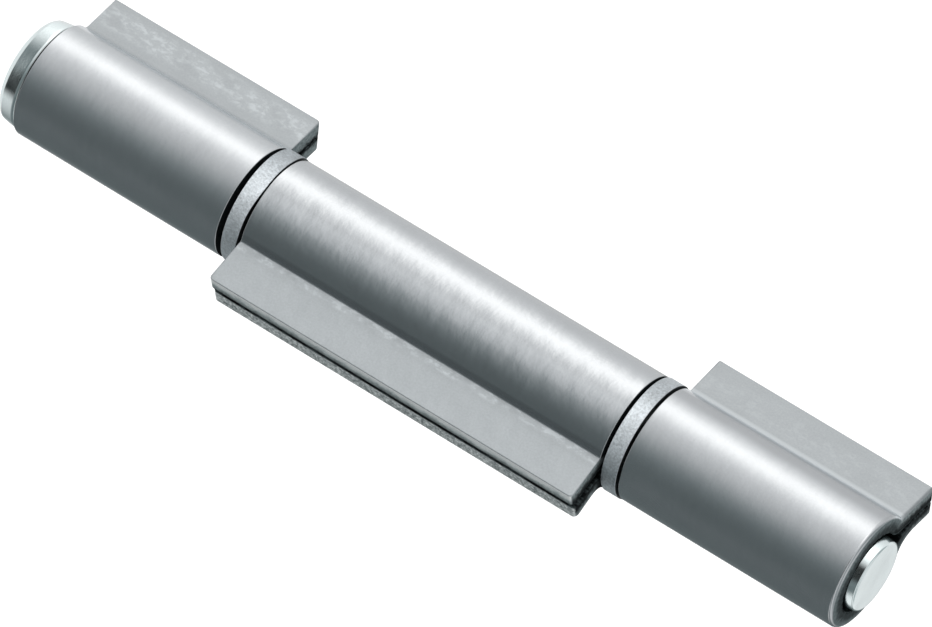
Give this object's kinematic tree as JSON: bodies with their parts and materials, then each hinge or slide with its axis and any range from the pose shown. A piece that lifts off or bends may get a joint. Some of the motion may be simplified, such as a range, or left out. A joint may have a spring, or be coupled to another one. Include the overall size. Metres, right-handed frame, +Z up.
{
  "type": "weld-on hinge",
  "caption": "Long barrel hinge of folded steel sheet: outer leaves and a centre leaf with flat doubled flanges to weld on, turning on a loose headed pin with spacer washers.",
  "frame": {"origin": "on the pin's axis, halfway along the whole hinge", "axes": "+X along the pin from its head to its tip, +Y to the side of the outer leaves' flanges, +Z up"},
  "size_m": [0.1632, 0.0344, 0.0202],
  "materials": {
    "bare_steel": "bare cold-rolled steel sheet with a satin sheen",
    "zinc_plated_washer": "bright blue-white zinc plating, slightly grainy",
    "zinc_plated_pin": "bright zinc plating, glossy"
  },
  "bodies": {
    "centre_leaf": {"centre_leaf": "bare_steel"},
    "head_end_leaf": {"head_end_leaf": "bare_steel"},
    "tip_end_leaf": {"tip_end_leaf": "bare_steel"},
    "head_end_washer": {"head_end_washer": "zinc_plated_washer"},
    "tip_end_washer": {"tip_end_washer": "zinc_plated_washer"},
    "hinge_pin": {"hinge_pin": "zinc_plated_pin"}
  },
  "joints": [
    {"name": "head_end_leaf_turn", "type": "hinge", "parent": "centre_leaf", "child": "head_end_leaf", "pos_m": [0, 0, 0], "axis": [1, 0, 0], "continuous": true},
    {"name": "tip_end_leaf_turn", "type": "hinge", "parent": "centre_leaf", "child": "tip_end_leaf", "pos_m": [0, 0, 0], "axis": [1, 0, 0], "continuous": true},
    {"name": "head_end_washer_turn", "type": "hinge", "parent": "centre_leaf", "child": "head_end_washer", "pos_m": [0, 0, 0], "axis": [1, 0, 0], "continuous": true},
    {"name": "tip_end_washer_turn", "type": "hinge", "parent": "centre_leaf", "child": "tip_end_washer", "pos_m": [0, 0, 0], "axis": [1, 0, 0], "continuous": true},
    {"name": "pin_draw", "type": "slide", "parent": "centre_leaf", "child": "hinge_pin", "axis": [-1, 0, 0], "range_m": [0, 0.16]}
  ]
}
